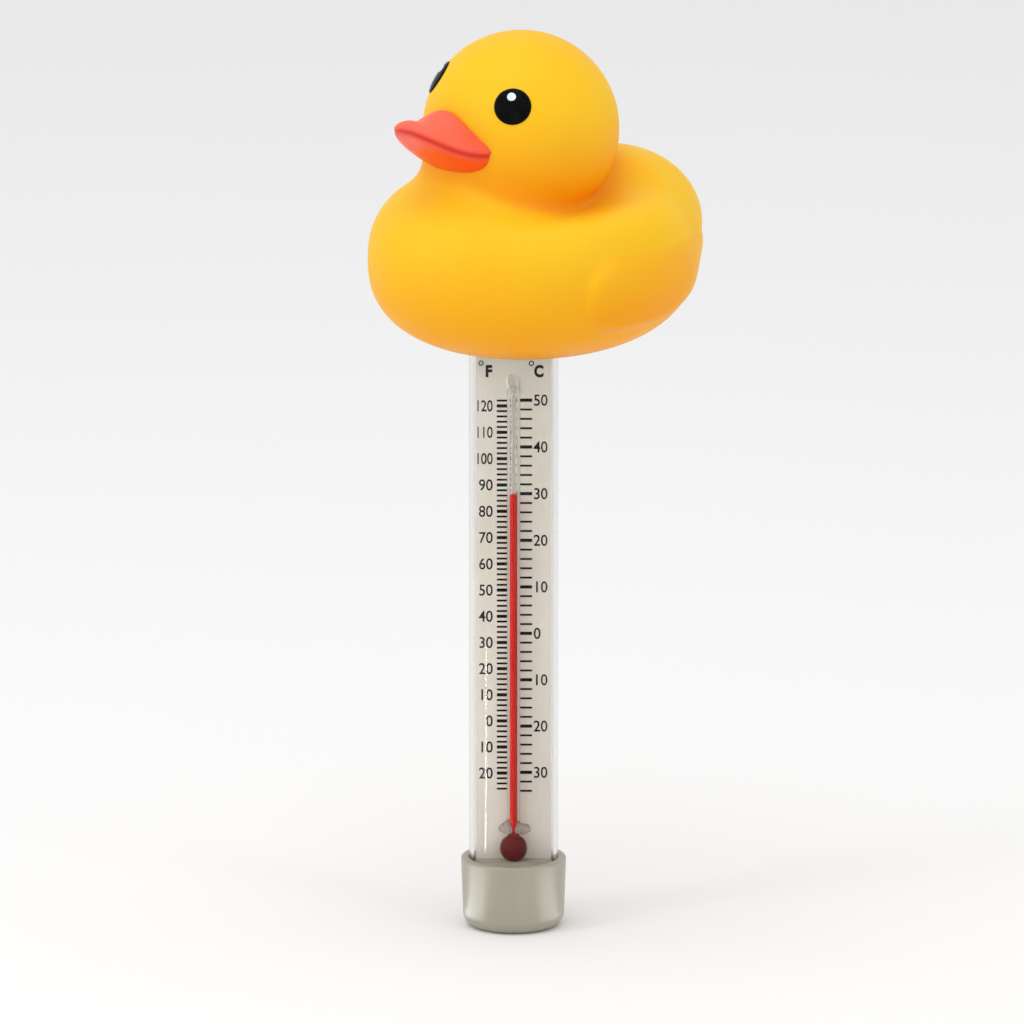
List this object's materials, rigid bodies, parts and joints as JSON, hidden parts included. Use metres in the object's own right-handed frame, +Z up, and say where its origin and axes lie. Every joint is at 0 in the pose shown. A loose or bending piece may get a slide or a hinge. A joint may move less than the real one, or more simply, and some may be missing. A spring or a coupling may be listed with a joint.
{
  "type": "floating pool thermometer",
  "caption": "Hollow toy duck float on a clear sealed tube with a ballasted end cap; a card in the tube carries a spirit-in-glass thermometer and two printed temperature scales.",
  "frame": {"origin": "centre of the end cap's flat foot", "axes": "+Z up along the tube's axis; -Y is the side the scale is read from; the duck's bill points between -X and -Y"},
  "size_m": [0.0804, 0.0791, 0.2192],
  "materials": {
    "vinyl_yellow": "satin",
    "beak_red": "satin",
    "eye_black": "gloss",
    "eye_white": "gloss",
    "clear_plastic": "polished",
    "cap_plastic": "satin",
    "card_plastic": "satin",
    "clear_glass": "polished",
    "red_spirit": "gloss",
    "clear_adhesive": "gloss",
    "ballast_steel": "satin",
    "grey_foam": "matte",
    "black_rubber": "matte",
    "collar_plastic": "satin"
  },
  "bodies": {
    "stem": {"lower_cap": "cap_plastic", "cap_gasket": "black_rubber", "ballast": "ballast_steel", "bulb_cushion": "grey_foam", "clear_tube": "clear_plastic", "tube_plug": "black_rubber", "scale_card": "card_plastic", "glass_stem": "clear_glass", "spirit_bulb": "red_spirit", "lower_glue": "clear_adhesive", "upper_glue": "clear_adhesive"},
    "float": {"float_shell": "vinyl_yellow", "float_collar": "collar_plastic", "collar_seal": "black_rubber", "beak": "beak_red", "left_eye": "eye_black", "right_eye": "eye_black", "left_eye_glint": "eye_white", "right_eye_glint": "eye_white"},
    "spirit": {"spirit_column": "red_spirit"}
  },
  "joints": [
    {"name": "float_turn", "type": "hinge", "parent": "stem", "child": "float", "pos_m": [0, 0, 0.15], "axis": [0, 0, 1], "continuous": true},
    {"name": "spirit_level", "type": "slide", "parent": "stem", "child": "spirit", "axis": [0, 0, 1], "range_m": [-0.0731, 0.0226], "deforming": ["spirit_column"]}
  ]
}
